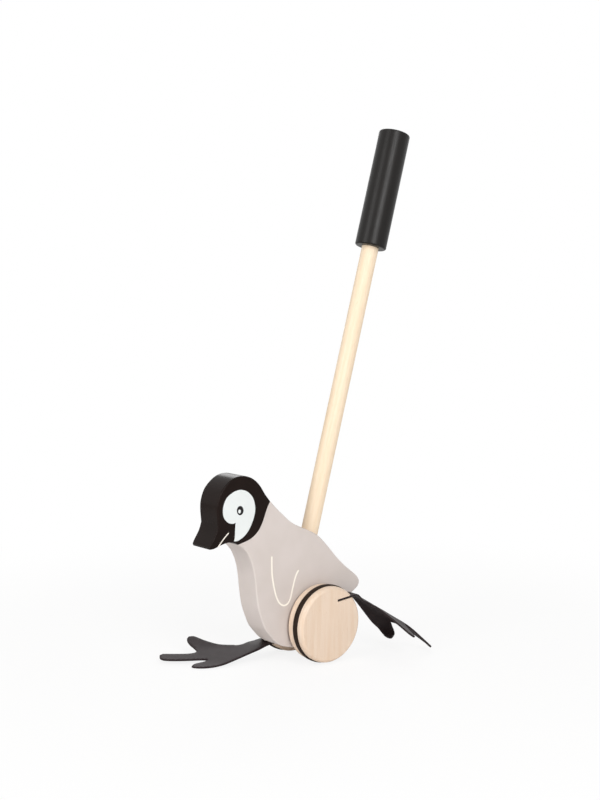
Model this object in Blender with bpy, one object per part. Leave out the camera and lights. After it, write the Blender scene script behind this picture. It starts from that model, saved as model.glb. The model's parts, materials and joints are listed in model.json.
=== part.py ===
"""Wooden penguin push-along toy for a toddler, in metres, +Z up, beak towards -Y.

A thick sawn plank is the bird. It rolls on two wooden wheels with rubber
rings, and each wheel carries a three-toed foot cut from flexible sheet, with
its strap held in a saw kerf. A dowel with a black grip pushes the toy.
Every piece is modelled around the axle centre and hung on empties, so each
joint has its own empty on its axis.
"""
import math
from collections import namedtuple

import bmesh
import bpy
from mathutils import Matrix, Vector

# Fits
FIT_GAP = 0.0003            # between pieces that touch
AXLE_RUN_GAP = 0.0005       # between the axle and the bore it turns in
CUT_OVERRUN = 0.003         # how far a cutter reaches past what it cuts
MERGE_DISTANCE = 0.000001

# Plank body, seen from the side and placed from the axle
BODY_LENGTH = 0.1729        # beak tip to tail
BODY_HEIGHT = 0.1642        # belly to crown
BODY_THICKNESS = 0.027
BEAK_REACH = 0.119          # beak tip ahead of the axle
BELLY_DROP = 0.0215         # belly below the axle
BODY_EDGE_ROUND = 0.0018
OUTLINE_STEP = 0.0052       # longest straight piece of a curved outline

# Wheels and their rings
WHEEL_DIAMETER = 0.070
WHEEL_THICKNESS = 0.020
WHEEL_GAP = 0.0025          # plank face to wheel
WHEEL_OUTER_ROUND = 0.004
WHEEL_INNER_ROUND = 0.002
TYRE_SECTION = 0.0064       # cord diameter of the ring
TYRE_PROUD = 0.001          # ring stands out of the rim

# Axle and spacers
AXLE_DIAMETER = 0.008
AXLE_SEAT_DEPTH = 0.014     # blind hole in the wheel
AXLE_CHAMFER = 0.0006
WASHER_DIAMETER = 0.018

# Feet: one flat pattern, s runs out from the rim along the strap, a runs away from the body
SHEET_THICKNESS = 0.0016
FOOT_LENGTH = 0.0927        # rim to the tip of the middle toe
FOOT_SPREAD = 0.0534        # strap centre line to the tip of the outer toe
STRAP_WIDTH = 0.0194
FOOT_MESH_STEP = 0.0064
KERF_OFFSET = 0.0207        # saw kerf from the axle centre, square to the kerf
KERF_DEPTH = 0.0187         # kerf from the rim inwards
KERF_RISE = math.radians(5.3)
STRAP_STANDOFF = 0.0008     # s = 0 lies this far outside the ring
HINGE_REACH = 0.003         # strap flexes at this s
ROOT_BEND_LENGTH = 0.003
ROOT_EASE = 0.004           # the flap leaves the strap's plane over this length
ROLL_START = 0.0035
ROLL_LENGTH = 0.014
PALM_BEND_LENGTH = 0.018
INNER_BEND_LENGTH = 0.012
TOE_BEND_LENGTH = 0.014
RING_WINDOW_MARGIN = 0.0006  # strap window round the ring, each side

# Stick and grip
STICK_DIAMETER = 0.016
STICK_LENGTH = 0.4233
STICK_LEAN = math.radians(15.8)
STICK_CHAMFER = 0.0015
GRIP_DIAMETER = 0.030
GRIP_LENGTH = 0.1128
GRIP_ROUND = 0.0018
GRIP_CAP = 0.005            # closed end above the stick

# Facets
WHEEL_SEGMENTS = 48
ROUND_SEGMENTS = 24
TYRE_SEGMENTS = 12
FILLET_STEPS = 3
EDGE_ROUND_STEPS = 2

# Side outline, shares of length from the beak tip and of height from the belly:
# up the back from the tail, over the crown, down the face to the beak tip
BACK_AND_HEAD_SHARES = (
    (1.000, 0.301), (0.940, 0.379), (0.863, 0.447), (0.774, 0.546), (0.708, 0.612), (0.584, 0.680),
    (0.510, 0.722), (0.431, 0.796), (0.337, 0.910), (0.304, 0.954), (0.272, 0.979), (0.238, 0.995),
    (0.197, 1.000), (0.156, 0.993), (0.103, 0.963), (0.070, 0.921), (0.053, 0.871), (0.048, 0.823),
    (0.054, 0.748), (0.040, 0.707), (0.000, 0.638),
)
# On from the beak tip: under the beak, breast, belly and the underside of the tail
BREAST_AND_BELLY_SHARES = (
    (0.000, 0.638), (0.036, 0.628), (0.072, 0.641), (0.116, 0.649), (0.175, 0.631), (0.222, 0.592),
    (0.260, 0.526), (0.284, 0.423), (0.295, 0.311), (0.317, 0.221), (0.353, 0.134), (0.415, 0.058),
    (0.488, 0.015), (0.561, 0.001), (0.642, 0.000), (0.746, 0.015), (0.833, 0.076), (0.894, 0.167),
    (0.939, 0.246), (1.000, 0.301),
)
# Foot of the stick, as shares of the body's length and height
STICK_FOOT_SHARES = (0.6415, 0.3745)

# Foot pattern from the strap round the outer, middle and inner toes,
# shares of FOOT_LENGTH and FOOT_SPREAD
TOES_SHARES = (
    (0.148, 0.174), (0.214, 0.161), (0.254, 0.178), (0.299, 0.240), (0.384, 0.399), (0.422, 0.519),
    (0.463, 0.723), (0.479, 0.846), (0.496, 0.944), (0.539, 1.000), (0.573, 0.968), (0.602, 0.882),
    (0.617, 0.760), (0.625, 0.612), (0.643, 0.502), (0.674, 0.494), (0.724, 0.534), (0.803, 0.637),
    (0.878, 0.747), (0.930, 0.820), (0.968, 0.813), (1.000, 0.715), (0.994, 0.646), (0.950, 0.558),
    (0.876, 0.448), (0.797, 0.345), (0.711, 0.234), (0.655, 0.135), (0.670, 0.129), (0.711, 0.124),
    (0.764, 0.148), (0.812, 0.163), (0.864, 0.116), (0.836, 0.026),
)
# Back along the inner edge to the strap, shares of FOOT_LENGTH and of half the strap's width
INNER_EDGE_SHARES = (
    (0.780, -0.340), (0.704, -0.730), (0.612, -0.950), (0.543, -1.000), (0.364, -1.000), (0.152, -1.000),
)
INNER_NOTCH_SHARES = (0.652, 0.161)
OUTER_NOTCH_SHARES = (0.640, 0.506)
OUTER_BEND_SPREAD_SHARE = 0.225    # the outer toe bends from this far out
INNER_TOE_SLOPE = 0.15             # side of the gap between the inner and middle toes
OUTER_TOE_SLOPE = 0.25             # side of the gap between the outer and middle toes

# How each foot hangs: bends in degrees, positive downwards, and where the bends cross the strap
Drape = namedtuple("Drape", "root roll palm palm_turn palm_share inner inner_share outer outer_share middle")
LEFT_DRAPE = Drape(29.3, 25.0, 64.3, 65.0, 0.04, 95.0, 0.652, -8.5, 0.5, 12.0)
RIGHT_DRAPE = Drape(1.7, -7.1, 3.4, 23.1, 0.084, -4.5, 0.533, -5.0, 0.446, -2.8)

# Sizes that follow from those above
WHEEL_RADIUS = WHEEL_DIAMETER / 2
TYRE_RADIUS = TYRE_SECTION / 2
TYRE_OUTER_RADIUS = WHEEL_RADIUS + TYRE_PROUD
TYRE_CENTRE_RADIUS = TYRE_OUTER_RADIUS - TYRE_RADIUS
WHEEL_CENTRE_X = BODY_THICKNESS / 2 + WHEEL_GAP + WHEEL_THICKNESS / 2
WHEEL_INNER_X = WHEEL_CENTRE_X - WHEEL_THICKNESS / 2
AXLE_HALF_LENGTH = WHEEL_INNER_X + AXLE_SEAT_DEPTH - FIT_GAP
STRAP_ORIGIN = math.sqrt(TYRE_OUTER_RADIUS ** 2 - KERF_OFFSET ** 2) + STRAP_STANDOFF
KERF_END = math.sqrt(WHEEL_RADIUS ** 2 - KERF_OFFSET ** 2) - KERF_DEPTH
STEM_END = HINGE_REACH - SHEET_THICKNESS / 2 - FIT_GAP
NOSE_SHARE = 0.5                   # the rounded end of a flap, as a share of the sheet

Finish = namedtuple("Finish", "colour roughness metallic")
FINISHES = {
    "painted_wood_grey": Finish((0.68, 0.60, 0.54), 0.55, 0.0),
    "beech": Finish((0.83, 0.68, 0.51), 0.6, 0.0),
    "dowel_wood": Finish((0.97, 0.84, 0.64), 0.6, 0.0),
    "black_rubber": Finish((0.045, 0.025, 0.013), 0.5, 0.0),
    "foot_rubber": Finish((0.03, 0.022, 0.02), 0.4, 0.0),
    "grip_black": Finish((0.012, 0.012, 0.012), 0.35, 0.0),
    "nylon": Finish((0.8, 0.78, 0.74), 0.5, 0.0),
    "steel": Finish((0.6, 0.6, 0.6), 0.3, 1.0),
}


def clear_scene():
    """Remove every object of the open file."""
    for obj in list(bpy.data.objects):
        bpy.data.objects.remove(obj, do_unlink=True)


def make_material(name):
    """Return the Principled material of one finish, made once."""
    if name in bpy.data.materials:
        return bpy.data.materials[name]
    finish = FINISHES[name]
    material = bpy.data.materials.new(name)
    material.use_nodes = True
    shader = material.node_tree.nodes["Principled BSDF"]
    shader.inputs["Base Color"].default_value = (*finish.colour, 1.0)
    shader.inputs["Roughness"].default_value = finish.roughness
    shader.inputs["Metallic"].default_value = finish.metallic
    return material


def add_empty(name, location, parent=None):
    """Add an empty that carries pieces."""
    empty = bpy.data.objects.new(name, None)
    empty.location = location
    empty.parent = parent
    bpy.context.scene.collection.objects.link(empty)
    return empty


def add_piece(name, bm, finish, parent):
    """Turn a closed bmesh into a named, smooth shaded object on its empty."""
    bmesh.ops.recalc_face_normals(bm, faces=bm.faces)
    mesh = bpy.data.meshes.new(name)
    bm.to_mesh(mesh)
    bm.free()
    mesh.materials.append(make_material(finish))
    mesh.shade_smooth()
    mesh.set_sharp_from_angle(angle=math.radians(35))
    obj = bpy.data.objects.new(name, mesh)
    obj.parent = parent
    bpy.context.scene.collection.objects.link(obj)
    return obj


def cut(target, cutter_bm, cutter_name):
    """Cut a closed shape, placed in the target's own frame, out of a piece."""
    bmesh.ops.recalc_face_normals(cutter_bm, faces=cutter_bm.faces)
    mesh = bpy.data.meshes.new(cutter_name)
    cutter_bm.to_mesh(mesh)
    cutter_bm.free()
    cutter = bpy.data.objects.new(cutter_name, mesh)
    cutter.parent = target.parent
    cutter.hide_render = True
    cutter.display_type = "WIRE"
    bpy.context.scene.collection.objects.link(cutter)
    modifier = target.modifiers.new(cutter_name, "BOOLEAN")
    modifier.operation = "DIFFERENCE"
    modifier.solver = "EXACT"
    modifier.object = cutter


def smooth_curve(points, step):
    """Run a Catmull-Rom curve through 2-D points, in pieces of about one step."""
    knots = [Vector(p) for p in points]
    ends = [2 * knots[0] - knots[1], *knots, 2 * knots[-1] - knots[-2]]
    curve = [knots[0]]
    for before, start, end, after in zip(ends, ends[1:], ends[2:], ends[3:]):
        pieces = max(1, round((end - start).length / step))
        for i in range(1, pieces + 1):
            t = i / pieces
            curve.append(0.5 * (2 * start + (end - before) * t
                                + (2 * before - 5 * start + 4 * end - after) * t ** 2
                                + (3 * start - before - 3 * end + after) * t ** 3))
    return curve


def arc(centre, radius, start, end, steps):
    """Return points on an arc in a (radius, along) plane, angles from the radius axis."""
    turns = [start + (end - start) * i / steps for i in range(steps + 1)]
    return [(centre[0] + radius * math.cos(t), centre[1] + radius * math.sin(t)) for t in turns]


def lathe(profile, segments, closed=False):
    """Turn a (radius, along) profile around Z with the spin operator."""
    bm = bmesh.new()
    verts = [bm.verts.new((radius, 0, along)) for radius, along in profile]
    edges = [bm.edges.new(pair) for pair in zip(verts, verts[1:])]
    if closed:
        edges.append(bm.edges.new((verts[-1], verts[0])))
    bmesh.ops.spin(bm, geom=verts + edges, cent=(0, 0, 0), axis=(0, 0, 1), dvec=(0, 0, 0),
                   angle=math.tau, steps=segments, use_merge=False, use_duplicate=False)
    bmesh.ops.remove_doubles(bm, verts=bm.verts, dist=MERGE_DISTANCE)
    return bm


def rod_profile(radius, start, end, chamfer):
    """Profile of a solid rod with chamfered ends."""
    return [(0, start), (radius - chamfer, start), (radius, start + chamfer),
            (radius, end - chamfer), (radius - chamfer, end), (0, end)]


def onto_x_axis(bm, side, start):
    """Turn a shape made around Z so that it runs outwards along X from a start distance."""
    turn = Matrix(((0, 0, side), (side, 0, 0), (0, 1, 0))).to_4x4()
    bmesh.ops.transform(bm, matrix=Matrix.Translation((side * start, 0, 0)) @ turn, verts=bm.verts)
    return bm


def body_point(shares):
    """Place a share of the body's length and height in the side view, from the axle."""
    return (shares[0] * BODY_LENGTH - BEAK_REACH, shares[1] * BODY_HEIGHT - BELLY_DROP)


def make_body(root, stick_axis):
    """Saw the plank, round its edges, and drill the axle bore and the stick's socket."""
    back = smooth_curve([body_point(s) for s in BACK_AND_HEAD_SHARES], OUTLINE_STEP)
    front = smooth_curve([body_point(s) for s in BREAST_AND_BELLY_SHARES], OUTLINE_STEP)
    outline = back + front[1:-1]
    bm = bmesh.new()
    near = bm.faces.new([bm.verts.new((BODY_THICKNESS / 2, y, z)) for y, z in outline])
    grown = bmesh.ops.extrude_face_region(bm, geom=[near])["geom"]
    far_verts = [item for item in grown if isinstance(item, bmesh.types.BMVert)]
    bmesh.ops.translate(bm, vec=(-BODY_THICKNESS, 0, 0), verts=far_verts)
    rims = [edge for edge in bm.edges if edge.verts[0].co.x == edge.verts[1].co.x]
    bmesh.ops.bevel(bm, geom=rims, offset=BODY_EDGE_ROUND, segments=EDGE_ROUND_STEPS,
                    profile=0.5, affect="EDGES", clamp_overlap=False)
    body = add_piece("body", bm, "painted_wood_grey", root)

    reach = BODY_THICKNESS / 2 + CUT_OVERRUN
    bore = lathe(rod_profile(AXLE_DIAMETER / 2 + AXLE_RUN_GAP, -reach, reach, 0), ROUND_SEGMENTS)
    cut(body, onto_x_axis(bore, 1, 0), "axle_bore_cutter")

    socket = lathe(rod_profile(STICK_DIAMETER / 2 + FIT_GAP, -FIT_GAP, BODY_HEIGHT, 0), ROUND_SEGMENTS)
    bmesh.ops.transform(socket, matrix=stick_axis, verts=socket.verts)
    cut(body, socket, "stick_socket_cutter")
    return body


def make_stick(seat):
    """Turn the dowel from its seat in the plank up into the grip."""
    profile = rod_profile(STICK_DIAMETER / 2, 0, STICK_LENGTH, STICK_CHAMFER)
    return add_piece("stick", lathe(profile, ROUND_SEGMENTS), "dowel_wood", seat)


def make_grip(seat):
    """Turn the grip: a cylinder with rounded ends and a blind bore for the stick."""
    radius = GRIP_DIAMETER / 2
    top = STICK_LENGTH + FIT_GAP + GRIP_CAP
    bottom = top - GRIP_LENGTH
    bore = STICK_DIAMETER / 2 + FIT_GAP
    profile = [(0, top)]
    profile += arc((radius - GRIP_ROUND, top - GRIP_ROUND), GRIP_ROUND, math.pi / 2, 0, FILLET_STEPS)
    profile += arc((radius - GRIP_ROUND, bottom + GRIP_ROUND), GRIP_ROUND, 0, -math.pi / 2, FILLET_STEPS)
    profile += [(bore, bottom), (bore, top - GRIP_CAP), (0, top - GRIP_CAP)]
    return add_piece("grip", lathe(profile, 2 * ROUND_SEGMENTS), "grip_black", seat)


def make_axle(wheelset):
    """Turn the rod that joins both wheels through the plank."""
    profile = rod_profile(AXLE_DIAMETER / 2, -AXLE_HALF_LENGTH, AXLE_HALF_LENGTH, AXLE_CHAMFER)
    return add_piece("axle", onto_x_axis(lathe(profile, ROUND_SEGMENTS), 1, 0), "steel", wheelset)


def make_washer(name, side, root):
    """Make the flat spacer between the plank and one wheel."""
    bore = AXLE_DIAMETER / 2 + AXLE_RUN_GAP
    thickness = WHEEL_GAP - 2 * FIT_GAP
    profile = [(bore, 0), (WASHER_DIAMETER / 2, 0), (WASHER_DIAMETER / 2, thickness), (bore, thickness)]
    bm = onto_x_axis(lathe(profile, ROUND_SEGMENTS, closed=True), side, BODY_THICKNESS / 2 + FIT_GAP)
    return add_piece(name, bm, "nylon", root)


def groove_profile():
    """Return the rim groove that the ring lies in, from its inner lip to its outer lip."""
    radius = TYRE_RADIUS + FIT_GAP
    lip = math.acos((WHEEL_RADIUS - TYRE_CENTRE_RADIUS) / radius)
    step = math.tau / TYRE_SEGMENTS
    inner = [k * step for k in range(TYRE_SEGMENTS) if lip < k * step < math.tau - lip]
    turns = [lip, *inner, math.tau - lip]
    return [(TYRE_CENTRE_RADIUS + radius * math.cos(t), WHEEL_THICKNESS / 2 - radius * math.sin(t))
            for t in turns]


def make_wheel(name, side, wheelset):
    """Turn one wheel with its blind axle hole and ring groove, and saw the strap's kerf."""
    hole = AXLE_DIAMETER / 2 + FIT_GAP
    inner_round = (WHEEL_RADIUS - WHEEL_INNER_ROUND, WHEEL_INNER_ROUND)
    outer_round = (WHEEL_RADIUS - WHEEL_OUTER_ROUND, WHEEL_THICKNESS - WHEEL_OUTER_ROUND)
    profile = [(0, AXLE_SEAT_DEPTH), (hole, AXLE_SEAT_DEPTH), (hole, 0)]
    profile += arc(inner_round, WHEEL_INNER_ROUND, -math.pi / 2, 0, FILLET_STEPS)
    profile += groove_profile()
    profile += arc(outer_round, WHEEL_OUTER_ROUND, 0, math.pi / 2, FILLET_STEPS)
    profile += [(0, WHEEL_THICKNESS)]
    wheel = add_piece(name, onto_x_axis(lathe(profile, WHEEL_SEGMENTS), side, WHEEL_INNER_X),
                      "beech", wheelset)

    kerf = bmesh.new()
    bmesh.ops.create_cube(kerf, size=1)
    length = WHEEL_RADIUS - KERF_END
    height = SHEET_THICKNESS + 2 * FIT_GAP
    width = WHEEL_THICKNESS + 2 * CUT_OVERRUN
    bmesh.ops.scale(kerf, vec=(width, length, height), verts=kerf.verts)
    along = KERF_END + length / 2
    bmesh.ops.transform(kerf, matrix=kerf_frame(side) @ Matrix.Translation((0, along, 0)), verts=kerf.verts)
    cut(wheel, kerf, name + "_kerf_cutter")
    return wheel


def make_tyre(name, side, wheelset):
    """Turn the rubber ring that lies in the rim groove."""
    step = math.tau / TYRE_SEGMENTS
    profile = [(TYRE_CENTRE_RADIUS + TYRE_RADIUS * math.cos(k * step), -TYRE_RADIUS * math.sin(k * step))
               for k in range(TYRE_SEGMENTS)]
    bm = onto_x_axis(lathe(profile, WHEEL_SEGMENTS, closed=True), side, WHEEL_CENTRE_X)
    return add_piece(name, bm, "black_rubber", wheelset)


def kerf_frame(side):
    """Frame of a foot's sheet: X away from the body, Y out of the wheel along the kerf, Z up.

    The right wheel is the left one turned half a turn about the axle, so its kerf lies
    below the axle and opens forwards. Its Z still points up, out of the sheet's top face.
    """
    away = Vector((side, 0, 0))
    out = Vector((0, side * math.cos(KERF_RISE), side * math.sin(KERF_RISE)))
    up = Vector((0, -math.sin(KERF_RISE), math.cos(KERF_RISE)))
    frame = Matrix((away, out, up)).transposed().to_4x4()
    frame.translation = Vector((side * WHEEL_CENTRE_X, 0, 0)) + side * KERF_OFFSET * up
    return frame


def sheet_grid(outline, rows):
    """Fill a flat (a, s) outline and cut it into a grid, so that it can be bent."""
    bm = bmesh.new()
    bm.faces.new([bm.verts.new((a, s, 0)) for s, a in outline])
    low = min(s for s, a in outline)
    high = max(s for s, a in outline)
    cuts = list(rows)
    cuts += [low + FOOT_MESH_STEP * k for k in range(1, math.ceil((high - low) / FOOT_MESH_STEP))]
    left = min(a for s, a in outline)
    right = max(a for s, a in outline)
    for s in cuts:
        bisect(bm, (0, s, 0), (0, 1, 0))
    for k in range(1, math.ceil((right - left) / FOOT_MESH_STEP)):
        bisect(bm, (left + FOOT_MESH_STEP * k, 0, 0), (1, 0, 0))
    return bm


def bisect(bm, point, normal):
    """Cut every face along a plane and keep both halves."""
    geom = list(bm.verts) + list(bm.edges) + list(bm.faces)
    bmesh.ops.bisect_plane(bm, geom=geom, dist=MERGE_DISTANCE, plane_co=point, plane_no=normal)


def thicken(bm, thickness):
    """Give a flat sheet its thickness, half to each side."""
    grown = bmesh.ops.extrude_face_region(bm, geom=list(bm.faces))["geom"]
    top = [item for item in grown if isinstance(item, bmesh.types.BMVert)]
    bmesh.ops.translate(bm, vec=(0, 0, thickness), verts=top)
    bmesh.ops.translate(bm, vec=(0, 0, -thickness / 2), verts=bm.verts)


def make_stem(name, side, wheelset):
    """Make the part of a foot's strap that is glued in the kerf, forked round the ring."""
    half = STRAP_WIDTH / 2
    window = TYRE_RADIUS + RING_WINDOW_MARGIN
    root = KERF_END + FIT_GAP - STRAP_ORIGIN
    bridge = STEM_END / 4
    outline = [(root, -half), (root, -window), (bridge, -window), (bridge, window), (root, window),
               (root, half), (STEM_END, half), (STEM_END, -half)]
    bm = bmesh.new()
    bm.faces.new([bm.verts.new((a, s, 0)) for s, a in outline])
    thicken(bm, SHEET_THICKNESS)
    place = kerf_frame(side) @ Matrix.Translation((0, STRAP_ORIGIN, 0))
    bmesh.ops.transform(bm, matrix=place, verts=bm.verts)
    return add_piece(name, bm, "foot_rubber", wheelset)


def bend(point, origin, crease, length, angle):
    """Bend a point of the sheet about a crease.

    The crease runs through origin, and crease is the direction in the sheet that
    points square across it, towards what moves. The bend is spread over a length
    of sheet, and a positive angle turns the far side down.
    """
    across = crease.normalized()
    beyond = (point - origin).dot(across)
    if beyond <= 0 or angle == 0:
        return point
    radius = length / angle
    turned = angle * min(beyond, length) / length
    rest = max(beyond - length, 0)
    forward = radius * math.sin(turned) + rest * math.cos(turned)
    down = radius * (1 - math.cos(turned)) + rest * math.sin(turned)
    lifted = Vector((across.x, across.y, 0)) * math.sin(turned) + Vector((0, 0, math.cos(turned)))
    flat = point - across * beyond
    return Vector((flat.x, flat.y, -down)) + across * forward + lifted * point.z


def crease_across(first, second, towards):
    """Return the direction square to the line through two points, on the side of a third."""
    line = second - first
    across = Vector((line.y, -line.x, 0))
    return across if across.dot(towards - first) > 0 else -across


def drape_point(point, drape):
    """Carry a point (a, s, height) of the flat foot to where it hangs."""
    def place(shares):
        return Vector((shares[1] * FOOT_SPREAD, shares[0] * FOOT_LENGTH, 0))

    inner_notch = place(INNER_NOTCH_SHARES)
    outer_notch = place(OUTER_NOTCH_SHARES)
    inner_tip = place((1, 0))
    outer_tip = place((OUTER_NOTCH_SHARES[0], 1))
    middle_tip = place((1, 1))
    inner_seat = Vector((-STRAP_WIDTH / 2, drape.inner_share * FOOT_LENGTH, 0))
    outer_seat = place((drape.outer_share, OUTER_BEND_SPREAD_SHARE))
    on_inner = point.x < inner_notch.x + INNER_TOE_SLOPE * (point.y - inner_notch.y)
    outer_side = outer_notch.y + OUTER_TOE_SLOPE * (point.x - outer_notch.x)
    on_outer = point.x > outer_seat.x and point.y < outer_side
    if on_inner:
        crease = crease_across(inner_notch, inner_seat, inner_tip)
        point = bend(point, inner_notch, crease, INNER_BEND_LENGTH, math.radians(drape.inner))
    elif on_outer:
        crease = crease_across(outer_notch, outer_seat, outer_tip)
        point = bend(point, outer_notch, crease, TOE_BEND_LENGTH, math.radians(drape.outer))
    else:
        crease = crease_across(inner_notch, outer_notch, middle_tip)
        point = bend(point, inner_notch, crease, TOE_BEND_LENGTH, math.radians(drape.middle))

    turn = math.radians(drape.palm_turn)
    palm = Vector((0, drape.palm_share * FOOT_LENGTH, 0))
    point = bend(point, palm, Vector((-math.sin(turn), math.cos(turn), 0)), PALM_BEND_LENGTH,
                 math.radians(drape.palm))
    return point


def roll_point(point, flat_s, drape):
    """Roll the sheet about the strap's middle line, eased in over a short length."""
    share = min(max((flat_s - ROLL_START) / ROLL_LENGTH, 0), 1)
    turn = math.radians(drape.roll) * share * share * (3 - 2 * share)
    return Vector((point.x * math.cos(turn) + point.z * math.sin(turn), point.y,
                   point.z * math.cos(turn) - point.x * math.sin(turn)))


def foot_outline():
    """Return the flat flap's outline as (s, a) points, round the toes from the strap's outer edge."""
    half = STRAP_WIDTH / 2
    nose = HINGE_REACH - SHEET_THICKNESS / 2 * math.cos(math.radians(30))
    toes = [(s * FOOT_LENGTH, a * FOOT_SPREAD) for s, a in TOES_SHARES]
    inner_edge = [(s * FOOT_LENGTH, a * half) for s, a in INNER_EDGE_SHARES]
    knots = [(HINGE_REACH, half), *toes, *inner_edge, (HINGE_REACH, -half)]
    return [(nose, half), *smooth_curve(knots, FOOT_MESH_STEP), (nose, -half)]


def make_foot(name, side, drape, hinge):
    """Cut one flexible foot from sheet and hang it from its strap."""
    bm = sheet_grid(foot_outline(), [HINGE_REACH])
    thicken(bm, SHEET_THICKNESS)
    place = kerf_frame(side) @ Matrix.Translation((0, STRAP_ORIGIN, 0))
    for vert in bm.verts:
        point = vert.co.copy()
        if point.y < HINGE_REACH - MERGE_DISTANCE:
            point.z *= NOSE_SHARE
        flat = point.copy()
        flat_s = point.y
        point = roll_point(drape_point(point, drape), flat_s, drape)
        point = bend(point, Vector((0, HINGE_REACH, 0)), Vector((0, 1, 0)), ROOT_BEND_LENGTH,
                     math.radians(drape.root))
        left = min(max((flat_s - HINGE_REACH) / ROOT_EASE, 0), 1)
        vert.co = place @ flat.lerp(point, left * left * (3 - 2 * left)) - hinge.location
    bmesh.ops.triangulate(bm, faces=[face for face in bm.faces if len(face.verts) > 3])
    return add_piece(name, bm, "foot_rubber", hinge)


def hinge_point(side):
    """Return the middle of the line about which a foot flexes, from the axle centre."""
    return kerf_frame(side) @ Vector((0, STRAP_ORIGIN + HINGE_REACH, 0))


def stand_on_floor(root):
    """Lift the toy onto its rings, and centre its plan on the origin."""
    bpy.context.view_layer.update()
    depsgraph = bpy.context.evaluated_depsgraph_get()
    corners = []
    for obj in bpy.data.objects:
        if obj.type == "MESH" and not obj.hide_render:
            evaluated = obj.evaluated_get(depsgraph)
            corners += [evaluated.matrix_world @ vert.co for vert in evaluated.data.vertices]
    middle = [(min(c[k] for c in corners) + max(c[k] for c in corners)) / 2 for k in range(2)]
    root.location = (-middle[0], -middle[1], TYRE_OUTER_RADIUS)
    bpy.context.view_layer.update()


def main():
    """Build the toy."""
    clear_scene()
    root = add_empty("toy", (0, 0, 0))
    foot_y, foot_z = body_point(STICK_FOOT_SHARES)
    stick_axis = Matrix.Translation((0, foot_y, foot_z)) @ Matrix.Rotation(-STICK_LEAN, 4, "X")
    seat = add_empty("stick_seat", stick_axis.translation, root)
    seat.rotation_euler = (-STICK_LEAN, 0, 0)
    wheelset = add_empty("axle_hinge", (0, 0, 0), root)

    make_body(root, stick_axis)
    make_stick(seat)
    make_grip(seat)
    make_axle(wheelset)
    for label, side, drape in (("left", 1, LEFT_DRAPE), ("right", -1, RIGHT_DRAPE)):
        make_washer("washer_" + label, side, root)
        make_wheel("wheel_" + label, side, wheelset)
        make_tyre("tyre_" + label, side, wheelset)
        make_stem("foot_" + label + "_stem", side, wheelset)
        hinge = add_empty("foot_" + label + "_hinge", hinge_point(side), wheelset)
        make_foot("foot_" + label, side, drape, hinge)
    stand_on_floor(root)
    for name in ("axle_hinge", "stick_seat", "foot_left_hinge", "foot_right_hinge"):
        place = bpy.data.objects[name].matrix_world.translation
        print(name, [round(value, 6) for value in place])


main()
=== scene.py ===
"""Dress the wooden penguin push-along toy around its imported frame.

Sizes are in millimetres in the classes and are turned to metres where a mesh is made.
Places are measured from the middle of the axle: +X is the toy's left, the side that the
camera sees, the beak points to -Y and +Z is up.
"""
import json
import logging
import math
from collections.abc import Callable, Iterator, Sequence
from contextlib import contextmanager
from dataclasses import dataclass, field
from enum import Enum

import bmesh
import bpy
from mathutils import Matrix, Vector


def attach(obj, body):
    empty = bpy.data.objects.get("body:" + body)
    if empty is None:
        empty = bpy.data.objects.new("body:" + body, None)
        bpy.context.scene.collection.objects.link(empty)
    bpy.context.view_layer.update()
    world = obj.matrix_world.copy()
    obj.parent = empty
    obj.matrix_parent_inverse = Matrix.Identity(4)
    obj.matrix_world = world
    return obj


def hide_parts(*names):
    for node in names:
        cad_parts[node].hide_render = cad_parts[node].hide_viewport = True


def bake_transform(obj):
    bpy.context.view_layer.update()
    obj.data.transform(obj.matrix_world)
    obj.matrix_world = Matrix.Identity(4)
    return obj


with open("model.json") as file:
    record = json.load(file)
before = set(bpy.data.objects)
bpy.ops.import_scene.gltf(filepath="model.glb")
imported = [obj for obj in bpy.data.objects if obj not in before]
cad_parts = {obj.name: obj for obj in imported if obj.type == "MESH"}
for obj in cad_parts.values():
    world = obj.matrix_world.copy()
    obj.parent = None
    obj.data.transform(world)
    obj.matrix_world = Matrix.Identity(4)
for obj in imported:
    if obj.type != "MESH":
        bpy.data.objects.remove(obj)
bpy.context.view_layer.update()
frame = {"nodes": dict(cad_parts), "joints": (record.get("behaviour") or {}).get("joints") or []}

LOG = logging.getLogger("push_toy")
MM = 0.001
MERGE = 0.00001
WAVE = math.tau / 20  # the length of one wave of a wave texture whose scale is one
AXLE = Vector(next(joint["pos_m"] for joint in frame["joints"] if joint["name"] == "axle_spin"))

Pair = tuple[float, float]
Triple = tuple[float, float, float]
Pairs = tuple[Pair, ...]
Piece = bpy.types.Object
Tree = bpy.types.NodeTree
Socket = bpy.types.NodeSocket
Inputs = dict[str | int, object]
Woven = tuple[Inputs, Socket | None]
EdgeTest = Callable[[bmesh.types.BMEdge], bool]


class Side(Enum):
    """The toy's own left, which the camera sees, and its right."""

    LEFT = 1
    RIGHT = -1

    @property
    def label(self) -> str:
        """Return the word that ends a piece's name on this side."""
        return self.name.lower()


class Body(Enum):
    """The frame's moving bodies."""

    TOY = "toy_body"
    WHEELS = "wheelset"
    LEFT_FLAP = "left_foot_flap"
    RIGHT_FLAP = "right_foot_flap"


class Slot(Enum):
    """The record's material slots, named with each new piece; nothing here reads them."""

    PAINT = "painted_wood"
    DOWEL = "dowel_wood"
    GRIP = "grip_black"
    BEECH = "wheel_beech"
    RING = "ring_rubber"
    FOOT = "foot_rubber"


def at(x: float, y: float, z: float) -> Vector:
    """Return a place in metres from millimetres off the middle of the axle."""
    return AXLE + Vector((x, y, z)) * MM


def linear(colour: str) -> tuple[float, float, float, float]:
    """Turn an sRGB hex colour into linear light.

    Args:
        colour: Six hex digits after a hash sign.

    Returns:
        Red, green, blue and an alpha of one.
    """
    parts = [int(colour[k:k + 2], 16) / 255 for k in (1, 3, 5)]
    light = [c / 12.92 if c <= 0.04045 else ((c + 0.055) / 1.055) ** 2.4 for c in parts]
    return (*light, 1.0)


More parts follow.
